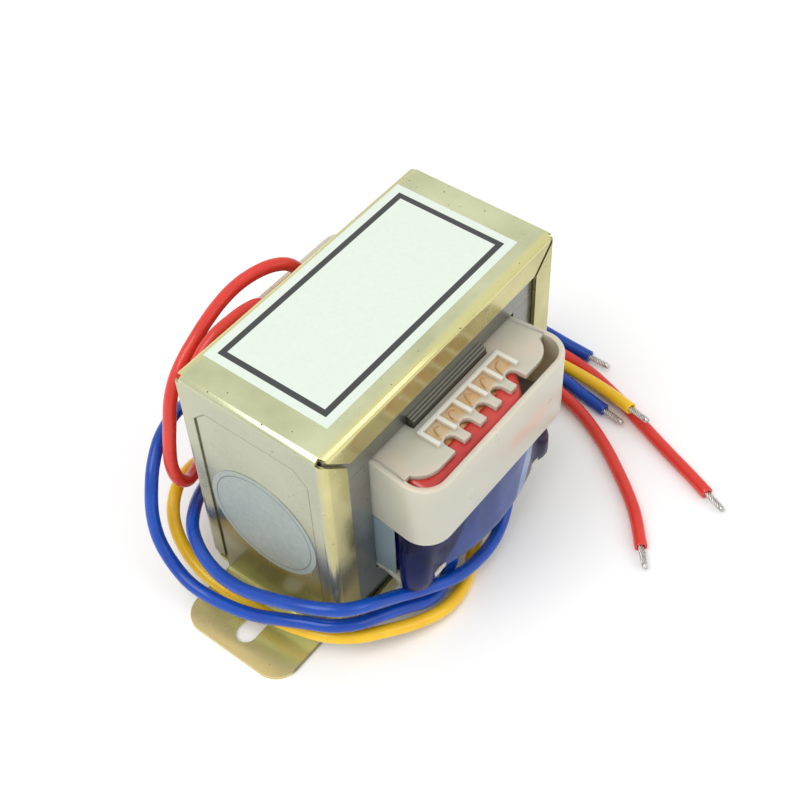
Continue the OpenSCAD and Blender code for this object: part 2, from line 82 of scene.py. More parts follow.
TAPE_T = 0.4
UPPER_LOW, UPPER_HIGH = 29.7, 43.0
UPPER_HALF = 20.45
UPPER_DEEP = TUBE_HALF + 10.9
UPPER_FLAT = 13
TURN_D = 0.34
TOP_TURNS = 8
TAIL_R = 0.09

LOWER_LOW, LOWER_HIGH = 13.6, 28.3
LOWER_HALF = 21.3
LOWER_DEEP = TUBE_HALF + 11.5
CROWN = 5

LABEL_MIDDLE = 1.3
BORDER_HALF_X, BORDER_HALF_Y, BORDER_T = 25.75, 12.25, 1.2
STICKER_Z = 26.65
RING_R, RING_T = 11.3, 0.3
INK_EDGE = 0.04

LEAD_D = 2.7
# the tube with its small dents stays this much inside the lead's own solid
LEAD_FIT = 0.985
STRAND_BUNDLE_D = 1.3
BARE_LENGTH = 5
STRANDS = 7
STRAND_TWIST = 1.1
TIP_LENGTH = 1.2


def at(x, y, z):
    """A point of the part's own frame, in metres in the row frame."""
    return ORIGIN + Vector((x, y, z)) * MM


def eased(low, high, value):
    """From 0 at low to 1 at high, with soft ends."""
    share = min(1, max(0, (value - low) / (high - low)))
    return share * share * (3 - 2 * share)


# ---------- meshes: plans, walls and tubes ----------

def mesh_object(name, verts, faces, smooth=True):
    mesh = bpy.data.meshes.new(name)
    mesh.from_pydata([tuple(v) for v in verts], [], faces)
    mesh.update()
    for p in mesh.polygons:
        p.use_smooth = smooth
    o = bpy.data.objects.new(name, mesh)
    bpy.context.scene.collection.objects.link(o)
    return o


def placed(name, part):
    verts, faces = part
    return mesh_object(name, [at(*v) for v in verts], faces)


def joined(*parts):
    """Several (vertices, faces) as one."""
    verts, faces = [], []
    for more, some in parts:
        faces += [tuple(i + len(verts) for i in f) for f in some]
        verts += more
    return verts, faces


def mirrored(corners):
    """A plan's corners along its front, and the same turned half round for its back."""
    return corners + [(-x, -y, r) for x, y, r in corners]


def rounded(corners, inset=0.0, step=10):
    """Points round a convex plan, anticlockwise; its corners are (x, y, radius), and step is in degrees."""
    least_radius = 0.02
    points = []
    spots = [Vector(c[:2]) for c in corners]
    for i, here in enumerate(spots):
        before = (here - spots[i - 1]).normalized()
        after = (spots[(i + 1) % len(spots)] - here).normalized()
        in_before, in_after = Vector((-before.y, before.x)), Vector((-after.y, after.x))
        tip = here + inset * (in_before + in_after) / (1 + in_before.dot(in_after))
        turn = math.acos(max(-1, min(1, before.dot(after))))
        radius = max(corners[i][2] - inset, least_radius)
        hub = tip - radius * math.tan(turn / 2) * before + radius * in_before
        steps = max(1, round(math.degrees(turn) / step))
        for k in range(steps + 1):
            out = Matrix.Rotation(turn * k / steps, 2) @ -in_before
            points.append(hub + radius * out)
    return points


def divided(points, outer, spacing):
    """The same closed line with its sides divided, by the lengths of an outer line with as many points."""
    fine = []
    for i, point in enumerate(points):
        after = points[(i + 1) % len(points)]
        length = (outer[(i + 1) % len(outer)] - outer[i]).length
        count = max(1, round(length / spacing))
        fine += [point.lerp(after, k / count) for k in range(count)]
    return fine


def wall(corners, section, spacing=None, ripple=None, droop=None):
    """A wall round a plan, as vertices and faces; section is the outline of its cut as (inset, z)."""
    outer = rounded(corners)
    verts = []
    for inset, z in section:
        line = rounded(corners, inset)
        if spacing:
            line = divided(line, outer, spacing)
        for i, p in enumerate(line):
            if ripple:
                way = (line[(i + 1) % len(line)] - line[i - 1]).normalized()
                p = p + ripple(p, z) * Vector((-way.y, way.x))
            verts.append(Vector((p.x, p.y + BOBBIN_Y, z - (droop(p, z) if droop else 0))))
    around = len(verts) // len(section)
    faces = []
    for i in range(len(section)):
        a, b = i * around, (i + 1) % len(section) * around
        for k in range(around):
            n = (k + 1) % around
            faces.append((a + k, a + n, b + n, b + k))
    return verts, faces


def smooth_path(points, step):
    """Points about step apart along a Catmull-Rom curve through the given ones."""
    p = [Vector(q) for q in points]
    p = [2 * p[0] - p[1]] + p + [2 * p[-1] - p[-2]]
    path = []
    for a, b, c, d in zip(p, p[1:], p[2:], p[3:]):
        count = max(1, round((c - b).length / step))
        for k in range(count):
            t = k / count
            path.append(0.5 * (2 * b + (c - a) * t + (2 * a - 5 * b + 4 * c - d) * t ** 2
                               + (3 * b - a - 3 * c + d) * t ** 3))
    path.append(p[-2])
    return path


def frames_along(path):
    """(point, side, other side) along a path, carried along without twist."""
    found, side = [], Vector((1, 0.2, 0.1))
    for i, point in enumerate(path):
        way = (path[min(i + 1, len(path) - 1)] - path[max(i - 1, 0)]).normalized()
        side = (side - side.dot(way) * way).normalized()
        found.append((point, side, way.cross(side)))
    return found


def sweep(rings, sides):
    """Vertices and faces of a closed tube; rings are (centre, u, v, radius)."""
    verts, faces = [], []
    for centre, u, v, radius in rings:
        for k in range(sides):
            turn = 2 * math.pi * k / sides
            verts.append(centre + radius * (math.cos(turn) * u + math.sin(turn) * v))
    for i in range(len(rings) - 1):
        for k in range(sides):
            a, b = i * sides + k, i * sides + (k + 1) % sides
            faces.append((a, b, b + sides, a + sides))
    faces.append(tuple(reversed(range(sides))))
    faces.append(tuple(range(len(verts) - sides, len(verts))))
    return verts, faces


def soften(node, width):
    """Rounds a CAD node's edges with modifiers."""
    o = frame["nodes"][node]
    o.modifiers.new("weld", "WELD").merge_threshold = 0.001 * MM
    plain = o.modifiers.new("plain", "DECIMATE")
    plain.decimate_type = "DISSOLVE"
    plain.angle_limit = math.radians(1)
    bevel = o.modifiers.new("bevel", "BEVEL")
    bevel.width = width * MM
    bevel.segments = 2
    bevel.limit_method = "ANGLE"
    bevel.angle_limit = math.radians(30)
    bevel.harden_normals = True


# ---------- materials ----------

class Shader:
    """A Principled material with helpers that add procedural nodes in object coordinates."""

    def __init__(self, name):
        self.material = bpy.data.materials.new(name)
        self.material.use_nodes = True
        self.nodes = self.material.node_tree.nodes
        self.links = self.material.node_tree.links
        self.base = self.nodes["Principled BSDF"]
        self.coords = self.nodes.new("ShaderNodeTexCoord").outputs["Object"]

    def put(self, value, socket):
        if isinstance(value, bpy.types.NodeSocket):
            self.links.new(value, socket)
        elif isinstance(value, tuple) and len(value) == 3 and len(socket.default_value) == 4:
            socket.default_value = (*value, 1)
        else:
            socket.default_value = value

    def set(self, **values):
        for key, value in values.items():
            self.put(value, self.base.inputs[key.replace("_", " ")])

    def place(self):
        """The three object coordinates, in millimetres."""
        node = self.nodes.new("ShaderNodeSeparateXYZ")
        self.links.new(self.coords, node.inputs[0])
        return [self.math("DIVIDE", node.outputs[axis], MM) for axis in "XYZ"]

    def stretched(self, scale, turn=(0, 0, 0)):
        node = self.nodes.new("ShaderNodeMapping")
        node.inputs["Scale"].default_value = scale
        node.inputs["Rotation"].default_value = turn
        self.links.new(self.coords, node.inputs["Vector"])
        return node.outputs["Vector"]

    def noise(self, scale, detail, rough, vector=None):
        node = self.nodes.new("ShaderNodeTexNoise")
        self.links.new(vector or self.coords, node.inputs["Vector"])
        node.inputs["Scale"].default_value = scale
        node.inputs["Detail"].default_value = detail
        node.inputs["Roughness"].default_value = rough
        return node.outputs["Fac"]

    def math(self, operation, a, b=0.0):
        node = self.nodes.new("ShaderNodeMath")
        node.operation = operation
        self.put(a, node.inputs[0])
        self.put(b, node.inputs[1])
        return node.outputs[0]

    def size(self, value):
        return self.math("ABSOLUTE", value)

    def product(self, first, *others):
        for value in others:
            first = self.math("MULTIPLY", first, value)
        return first

    def spread(self, value, low, high, to_low=0.0, to_high=1.0):
        """Carries low..high to to_low..to_high, and holds the ends beyond."""
        node = self.nodes.new("ShaderNodeMapRange")
        self.put(value, node.inputs["Value"])
        for key, number in (("From Min", low), ("From Max", high), ("To Min", to_low), ("To Max", to_high)):
            node.inputs[key].default_value = number
        return node.outputs["Result"]

    def band(self, value, start, full, fade, end):
        """1 from full to fade, down to 0 at start and at end."""
        return self.product(self.spread(value, start, full), self.spread(value, end, fade))

    def mix(self, share, a, b):
        node = self.nodes.new("ShaderNodeMix")
        node.data_type = "RGBA"
        self.put(share, node.inputs["Factor"])
        self.put(a, node.inputs["A"])
        self.put(b, node.inputs["B"])
        return node.outputs["Result"]

    def bump(self, height, depth, strength, under=None):
        """A bump of a depth in millimetres, on top of the one under it."""
        node = self.nodes.new("ShaderNodeBump")
        node.inputs["Distance"].default_value = depth * MM
        node.inputs["Strength"].default_value = strength
        self.links.new(height, node.inputs["Height"])
        if under:
            self.links.new(under, node.inputs["Normal"])
        return node.outputs["Normal"]

    def facing_up(self, low, high):
        """From 0 to 1 as a face turns upwards."""
        turn = self.nodes.new("ShaderNodeSeparateXYZ")
        self.links.new(self.nodes.new("ShaderNodeNewGeometry").outputs["Normal"], turn.inputs[0])
        return self.spread(turn.outputs["Z"], low, high)


def zinc_material():
    """Yellow zinc plate in lit and shaded copies of one colour: a top painted lighter for the light on it,
    painted highlights on the bends, painted shade on the brown lips and feet and low on the end walls; with
    stains, specks and scratches.
    """
    s = Shader("yellow_zinc")
    x, y, z = s.place()
    across, along = s.size(y), s.size(x)
    cloud = s.spread(s.noise(45, 5, 0.6), 0.35, 0.65)

    # Painted light and shade: the top painted lighter for the light on it, the end walls painted darker
    # towards their feet, the lips and feet painted browner and darker for shade; the feet turn a lighter
    # gold towards their outer ends.
    top = s.mix(cloud, (0.60, 0.63, 0.38), (0.78, 0.81, 0.52))
    end = s.mix(s.spread(z, 4, 34), (0.34, 0.33, 0.17), (0.50, 0.51, 0.37))
    end = s.mix(s.product(cloud, 0.35), end, (0.40, 0.42, 0.34))
    lip = s.mix(cloud, (0.46, 0.42, 0.19), (0.66, 0.60, 0.29))
    foot = s.mix(cloud, (0.46, 0.45, 0.15), (0.60, 0.58, 0.24))
    foot = s.mix(s.spread(along, 42.5, 46.5, 0, 0.7), foot, (0.74, 0.55, 0.24))

    # Lay the painted lit top, the painted shaded lips and the painted shaded feet on by height and depth.
    tint = s.mix(s.spread(z, FRAME_TOP - 1.2, FRAME_TOP - 0.3), end, top)
    tint = s.mix(s.spread(across, FRAME_FACE - 1.5, FRAME_FACE - 0.4), tint, lip)
    # painted highlight: a bright line along the bends from the top into the front and back lips
    bend_highlight = s.product(s.spread(across, BEND_EDGE, BEND_EDGE + 1.2),
                     s.spread(z, FRAME_TOP - 1.6, FRAME_TOP - 0.5), 0.8)
    tint = s.mix(bend_highlight, tint, (0.84, 0.80, 0.36))
    tint = s.mix(s.spread(z, 2.6, 1.2), tint, foot)

    specks = s.spread(s.noise(1400, 2, 0.5), 0.72, 0.76)
    tint = s.mix(specks, tint, (0.12, 0.10, 0.06))
    glints = s.noise(1900, 2, 0.5, s.stretched((1, 1, 1), (0.4, 0.1, 0.9)))
    tint = s.mix(s.spread(glints, 0.74, 0.77, 0, 0.7), tint, (0.9, 0.86, 0.6))

    # painted shade: a dark line along the edge of the panel pressed into each end wall
    panel = s.math("MAXIMUM", s.math("SUBTRACT", across, PANEL_HALF), s.math("SUBTRACT", z, PANEL_TOP))
    slope = s.math("SUBTRACT", s.math("ADD", across, z), PANEL_HALF + PANEL_TOP - PANEL_CHAMFER)
    panel = s.size(s.math("MAXIMUM", panel, s.product(slope, 0.7)))
    line = s.product(s.spread(panel, 0.26, 0.10, 0, 0.8), s.spread(along, END_WALL, END_WALL + 0.3))
    tint = s.mix(line, tint, (0.16, 0.14, 0.08))

    scratch = s.noise(200, 3, 0.6, s.stretched((1, 5, 1), (0.2, 0.3, 0.5)))
    rough = s.math("ADD", s.spread(cloud, 0, 1, 0.17, 0.30), s.spread(scratch, 0.60, 0.75, 0, 0.08))
    wave = s.bump(s.noise(35, 2, 0.4), 0.6, 0.5)
    s.set(Base_Color=tint, Metallic=s.spread(z, 3, 1, 0.88, 0.4), Roughness=rough,
          Normal=s.bump(s.noise(2500, 2, 0.6), 0.02, 0.5, wave))
    return s.material


def steel_material():
    """The cut edges of the stack: varnished grey steel, bluer lower down."""
    s = Shader("core_steel")
    z = s.place()[2]
    cloud = s.noise(60, 5, 0.6)
    tint = s.mix(s.spread(cloud, 0.35, 0.65), (0.20, 0.20, 0.18), (0.31, 0.31, 0.28))
    tint = s.mix(s.spread(z, 30, 12, 0, 0.7), tint, (0.16, 0.24, 0.28))
    specks = s.spread(s.noise(900, 3, 0.6), 0.68, 0.76)
    tint = s.mix(specks, tint, (0.08, 0.07, 0.06))
    s.set(Base_Color=tint, Metallic=0.85, Roughness=s.spread(cloud, 0.3, 0.7, 0.24, 0.38),
          Normal=s.bump(s.noise(300, 3, 0.6), 0.03, 0.5), Coat_Weight=0.3, Coat_Roughness=0.1)
    return s.material


def shim_material():
    """Dark steel, lighter on faces that turn upwards."""
    s = Shader("shim_steel")
    cloud = s.noise(90, 5, 0.6, s.stretched((0.3, 1, 1)))
    tint = s.mix(s.spread(cloud, 0.35, 0.65), (0.11, 0.105, 0.085), (0.18, 0.17, 0.13))
    tint = s.mix(s.facing_up(0.5, 0.9), tint, (0.50, 0.49, 0.42))
    s.set(Base_Color=tint, Metallic=0.9, Roughness=s.spread(cloud, 0.3, 0.7, 0.26, 0.42),
          Normal=s.bump(s.noise(400, 3, 0.6), 0.03, 0.5))
    return s.material


def nylon_material():
    """Milky nylon, with pocket rims painted lighter as a highlight, glue in the pockets, and a pink tint
    painted on the shroud's front where the red tape shows through.
    """
    s = Shader("nylon")
    x, y, z = s.place()
    cloud = s.noise(60, 3, 0.5)
    tint = s.mix(cloud, (0.62, 0.60, 0.50), (0.57, 0.55, 0.46))

    flange_top = s.spread(z, FLANGE_TOP - 0.1, FLANGE_TOP)
    warm = s.product(s.spread(s.noise(70, 2, 0.5), 0.45, 0.62, 0, 0.6), flange_top)
    tint = s.mix(warm, tint, (0.76, 0.58, 0.46))
    # painted highlight: the raised pocket rims above the flange made lighter, for the light through their
    # thin nylon
    tint = s.mix(s.spread(z, FLANGE_TOP + 0.4, FLANGE_TOP + 0.9), tint, (0.80, 0.79, 0.70))

    depth = s.size(s.math("SUBTRACT", y, BOBBIN_Y))
    pockets = s.product(s.band(depth, POCKETS_NEAR, POCKETS_NEAR + 0.4, POCKETS_FAR - 0.6, POCKETS_FAR),
                        s.spread(s.size(x), POCKETS_HALF, POCKETS_HALF - 0.5),
                        s.band(z, FLANGE_TOP - 0.3, FLANGE_TOP - 0.1, FLANGE_TOP + 0.05, FLANGE_TOP + 0.2))
    glue = s.spread(s.noise(330, 4, 0.6), 0.3, 0.6, 0.45, 1)
    tint = s.mix(s.product(pockets, glue), tint, (0.66, 0.43, 0.20))

    # painted light: a pink patch on the shroud's front where the red tape's colour shows through the nylon
    red_show_through = s.product(s.band(x, 1, 3, 12, 15), s.band(z, 32.5, 34, 36.5, 38),
                      s.spread(y, -28, -29.5, 0, 0.45))
    tint = s.mix(red_show_through, tint, (0.76, 0.42, 0.34))
    s.set(Base_Color=tint, Roughness=s.spread(cloud, 0, 1, 0.24, 0.34), IOR=1.53,
          Subsurface_Weight=0.8, Subsurface_Radius=(4 * MM, 3.5 * MM, 3 * MM), Subsurface_Scale=0.6,
          Transmission_Weight=0.05, Normal=s.bump(s.noise(300, 2, 0.5), 0.02, 0.3))
    return s.material


def plastic_material(name, colour, dark):
    """A lead's glossy insulation, a little uneven and grimy."""
    s = Shader(name)
    cloud = s.spread(s.noise(150, 4, 0.5), 0.35, 0.65)
    grime = s.spread(s.noise(700, 4, 0.7), 0.66, 0.78, 0, 0.3)
    tint = s.mix(grime, s.mix(cloud, colour, dark), tuple(0.5 * c for c in dark))
    s.set(Base_Color=tint, Roughness=s.spread(cloud, 0, 1, 0.24, 0.34), IOR=1.5,
          Specular_IOR_Level=0.3, Coat_Weight=0.35, Coat_Roughness=0.04,
          Normal=s.bump(s.noise(400, 3, 0.5), 0.03, 0.4))
    return s.material


def red_tape_material():
    """Red film pulled into long folds."""
    s = Shader("red_tape")
    streak = s.spread(s.noise(120, 4, 0.6, s.stretched((0.35, 1, 1), (0, 0, 0.5))), 0.42, 0.62)
    tint = s.mix(streak, (0.48, 0.018, 0.015), (0.64, 0.055, 0.04))
    folds = s.bump(s.noise(160, 3, 0.6, s.stretched((0.4, 1, 1), (0, 0, 0.6))), 0.4, 0.5)
    s.set(Base_Color=tint, Roughness=0.2, IOR=1.5, Coat_Weight=0.5, Coat_Roughness=0.05, Normal=folds)
    return s.material


def blue_tape_material():
    """Blue film: dark blue painted shade at the left end, towards the right end and over the back, plain
    over the front, and one strip painted lighter as a highlight.
    """
    s = Shader("blue_tape")
    x, y, z = s.place()
    cloud = s.spread(s.noise(90, 4, 0.6), 0.4, 0.62)
    plain = s.mix(cloud, (0.016, 0.038, 0.17), (0.030, 0.066, 0.26))
    navy_shade = s.mix(cloud, (0.001, 0.003, 0.03), (0.003, 0.009, 0.08))
    pale_highlight = s.mix(cloud, (0.16, 0.24, 0.42), (0.26, 0.34, 0.52))
    # the strips' edges slant and waver
    waver = s.product(s.math("SUBTRACT", s.noise(60, 2, 0.5), 0.5), 6)
    slant = s.math("SUBTRACT", s.math("ADD", x, waver), s.product(z, 0.5))
    # painted shade in dark blue at the left end, towards the right end and over the back; one strip lighter
    # as a painted highlight
    tint = s.mix(s.spread(slant, -21.0, -20.2), navy_shade, plain)
    tint = s.mix(s.spread(slant, -0.5, 0.2), tint, pale_highlight)
    tint = s.mix(s.spread(slant, 4.6, 5.0), tint, navy_shade)
    tint = s.mix(s.spread(y, 0, 2), tint, navy_shade)
    folds = s.bump(s.noise(140, 3, 0.6, s.stretched((1, 1, 0.4))), 0.4, 0.5)
    s.set(Base_Color=tint, Roughness=0.3, IOR=1.45, Specular_IOR_Level=0.15, Coat_Weight=0.2,
          Coat_Roughness=0.03, Normal=folds)
    return s.material


def tinned_material():
    s = Shader("tinned_copper")
    cloud = s.spread(s.noise(900, 3, 0.6), 0.35, 0.65)
    s.set(Base_Color=s.mix(cloud, (0.50, 0.49, 0.46), (0.72, 0.71, 0.68)), Metallic=1.0,
          Roughness=s.spread(cloud, 0, 1, 0.2, 0.4), Normal=s.bump(s.noise(1500, 2, 0.5), 0.03, 0.5))
    return s.material


def copper_material():
    s = Shader("copper")
    shade = s.spread(s.noise(900, 3, 0.5), 0.35, 0.65)
    s.set(Base_Color=s.mix(shade, (0.55, 0.24, 0.09), (0.85, 0.52, 0.24)), Metallic=0.9, Roughness=0.3,
          Normal=s.bump(shade, 0.02, 0.6))
    return s.material


def film(s, light, dark, ink=None, ink_colour=None, **values):
    """Fibrous film, with plain print on it where ink is given."""
    tint = s.mix(s.spread(s.noise(900, 4, 0.6), 0.3, 0.7), light, dark)
    if ink:
        tint = s.mix(ink, tint, ink_colour)
    s.set(Base_Color=tint, Normal=s.bump(s.noise(600, 3, 0.6), 0.02, 0.4), **values)
    return s.material


def liner_material():
    return film(Shader("liner_film"), (0.24, 0.31, 0.35), (0.228, 0.2945, 0.3325), Roughness=0.25)


def sticker_material():
    """Silver-grey film with a plain printed ring."""
    s = Shader("sticker_film")
    y, z = s.place()[1:]
    rise = s.math("SUBTRACT", z, STICKER_Z)
    out = s.math("SQRT", s.math("ADD", s.product(y, y), s.product(rise, rise)))
    ring = s.size(s.math("SUBTRACT", out, RING_R))
    ink = s.spread(ring, RING_T / 2, RING_T / 2 - INK_EDGE, 0, 0.7)
    return film(s, (0.33, 0.38, 0.35), (0.40, 0.45, 0.42), ink, (0.10, 0.11, 0.11),
                Roughness=0.4, Metallic=0.3)


def label_material():
    """White film with a plain dark border printed on it."""
    s = Shader("label_film")
    x, y = s.place()[:2]
    side = s.math("SUBTRACT", s.size(x), BORDER_HALF_X)
    end = s.math("SUBTRACT", s.size(s.math("SUBTRACT", y, LABEL_MIDDLE)), BORDER_HALF_Y)
    out = s.math("MAXIMUM", side, end)
    ink = s.band(out, -BORDER_T - INK_EDGE, -BORDER_T, 0, INK_EDGE)
    return film(s, (0.72, 0.79, 0.71), (0.69, 0.76, 0.68), ink, (0.045, 0.05, 0.048), Roughness=0.34)


MATERIALS = {
    "yellow_zinc": zinc_material(),
    "core_steel": steel_material(),
    "nylon": nylon_material(),
    "copper": copper_material(),
    "red_tape": red_tape_material(),
    "blue_tape": blue_tape_material(),
    "liner_film": liner_material(),
    "label_film": label_material(),
    "sticker_film": sticker_material(),
    "red_insulation": plastic_material("red_insulation", (0.72, 0.045, 0.03), (0.64, 0.035, 0.022)),
    "blue_insulation": plastic_material("blue_insulation", (0.002, 0.07, 0.44), (0.002, 0.05, 0.36)),
    "yellow_insulation": plastic_material("yellow_insulation", (0.91, 0.56, 0.016), (0.84, 0.47, 0.012)),
    "tinned_copper": tinned_material(),
}
SHIM_STEEL = shim_material()


def dress(piece, slot):
    piece.data.materials.clear()
    piece.data.materials.append(MATERIALS[slot])


def stand_for(piece, slot, *nodes):
    """Dresses a piece built here, shows it instead of its CAD nodes and fixes it to the body."""
    dress(piece, slot)
    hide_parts(*nodes)
    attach(piece, "root")
    return piece


# ---------- shroud ----------

def shroud():
    """A sleeve with round outer edges and an inner collar that closes the groove round the upper flange."""
    plan = mirrored([(-WIN_HALF, -SLEEVE_STEP, 2), (-SHROUD_HALF, -SHROUD_DEEP, SHROUD_R),
                     (SHROUD_HALF, -SHROUD_DEEP, SHROUD_R), (WIN_HALF, -SLEEVE_STEP, 2)])
    collar, collar_h = 0.14, 2
    corners = [(0, SHROUD_LOW, 0.3), (0, SHROUD_HIGH, 0.4), (-SHROUD_T - collar, SHROUD_HIGH, 0.03),
               (-SHROUD_T, SHROUD_HIGH - collar_h, 1), (-SHROUD_T, SHROUD_LOW, 0.3)]
    section = [(-p.x, p.y) for p in rounded(corners, 0, 30)]
    return wall(plan, section)


# ---------- upper coil ----------

upper_plan = mirrored([(-UPPER_HALF, -UPPER_DEEP, 2.5), (UPPER_HALF - UPPER_FLAT, -UPPER_DEEP, 4),
                       (UPPER_HALF, UPPER_FLAT - UPPER_DEEP, 4)])


def upper_ripple(p, z):
    return 0.16 * (0.5 + 0.5 * noise.noise(Vector((p.x * 0.35, p.y * 0.35, z * 0.15))))


def upper_tape():
    """Tape round the coil, folded over its top so that a strip of the turns shows at the combs."""
    fold_r, fold_reach, skin = 1.3, 4.35, 0.12
    section = [(0, UPPER_LOW), (0, (UPPER_LOW + UPPER_HIGH) / 2)]
    for k in range(5):
        turn = math.radians(90 * k / 4)
        section.append((fold_r * (1 - math.cos(turn)), UPPER_HIGH - fold_r * (1 - math.sin(turn))))
    section += [(fold_r + (fold_reach - fold_r) * k / 4, UPPER_HIGH) for k in range(1, 5)]
    section += [(fold_reach, UPPER_HIGH - skin), (fold_r + TAPE_T, UPPER_HIGH - skin),
                (TAPE_T, UPPER_HIGH - fold_r), (TAPE_T, UPPER_LOW)]
    return wall(upper_plan, section, 1.2, upper_ripple)


def upper_turns():
    """The coil under its tape: its top shows the last turns side by side."""
    outside = TAPE_T + 0.35
    section = [(outside, UPPER_LOW), (outside, UPPER_HIGH - 1.5), (1.9, UPPER_HIGH - 0.35)]
    first, ends = 3.8, 0.96
    for turn in range(TOP_TURNS):
        for k in range(4):
            share = k / 3
            lift = TURN_D / 2 * math.sin(math.pi * share)
            section.append((first + TURN_D * (turn + share * ends), UPPER_HIGH - 0.32 + lift))
    inside, deep = 3.1, UPPER_HIGH - 0.7
    section += [(first + TOP_TURNS * TURN_D, deep), (inside, deep), (inside, UPPER_LOW)]
    return wall(upper_plan, section, 3)


def wire_tails():
    """The fine wire that comes up through each comb slot and ends in its pocket, front and back."""
    draw = random.Random(5)
    lying = FLANGE_TOP + 0.12
    parts = []
    for side in (1, -1):
        for slot in range(COMB_SLOTS):
            x = (slot - 2) * COMB_PITCH
            wander = [draw.uniform(-0.25, 0.25) for _ in range(4)]
            spots = [(x - 0.7 + wander[0], 21.9, COMB_Z_TOP + 0.4), (x - 0.9 + wander[1], 21.2, lying),
                     (x - 0.4 + wander[2], 19.6, lying), (x + 0.5, 18.7 + wander[3], lying),
                     (x + 1.2, 19.2 + wander[0], lying)]
            path = smooth_path([(px, -side * py + BOBBIN_Y, pz) for px, py, pz in spots], 0.3)
            parts.append(sweep([(p, u, v, TAIL_R) for p, u, v in frames_along(path)], 6))
    return joined(*parts)


# ---------- lower coil ----------

def crown_y(x):
    return CROWN * (x / LOWER_HALF) ** 2 - LOWER_DEEP


lower_plan = mirrored([(-LOWER_HALF, crown_y(LOWER_HALF), 5)]
                      + [(x, crown_y(x), 6) for x in (-14, -7, 0, 7, 14)]
                      + [(LOWER_HALF, crown_y(LOWER_HALF), 5)])


def lower_ripple(p, z):
    """Loose tape: soft waves, folds at the left end, and lower corners that bulge over the flange."""
    wave = 0.5 + 0.5 * noise.noise(Vector((p.x * 0.18, p.y * 0.18, z * 0.10)))
    fold = 0.5 + 0.5 * noise.noise(Vector((p.x * 0.4, p.y * 0.4, z * 0.5)))
    loose = eased(-9, -15, p.x) if p.y < 0 else 0.3
    bulge = eased(15, 20, abs(p.x)) * eased(-19, -21, p.y) * eased(24, 16, z)
    return (1 - bulge) * (0.3 * wave + 0.5 * loose * fold) - 2.4 * bulge


def lower_droop(p, z):
    """At the front the tape's lower edge hangs over the flange."""
    return 1.4 * eased(-20, -22, p.y) * eased(18, 14, z)


def lower_tape():
    """Tape with thin round edges."""
    edge, levels = 0.3, 10
    straight_low, straight_high = LOWER_LOW + 0.35, LOWER_HIGH - 0.35
    section = [(edge, LOWER_LOW), (0.08, LOWER_LOW + 0.12)]
    section += [(0, straight_low + (straight_high - straight_low) * k / levels) for k in range(levels + 1)]
    section += [(edge, LOWER_HIGH), (TAPE_T + 0.05, LOWER_HIGH), (TAPE_T + 0.05, LOWER_LOW)]
    return wall(lower_plan, section, 0.8, lower_ripple, lower_droop)


def lower_turns():
    """The winding under the tape, with the same waves."""
    outside, inside, levels = 0.55, 5, 10
    section = [(outside, LOWER_LOW + (LOWER_HIGH - LOWER_LOW) * k / levels) for k in range(levels + 1)]
    return wall(lower_plan, section + [(inside, LOWER_HIGH), (inside, LOWER_LOW)], 0.8, lower_ripple)


# ---------- leads ----------

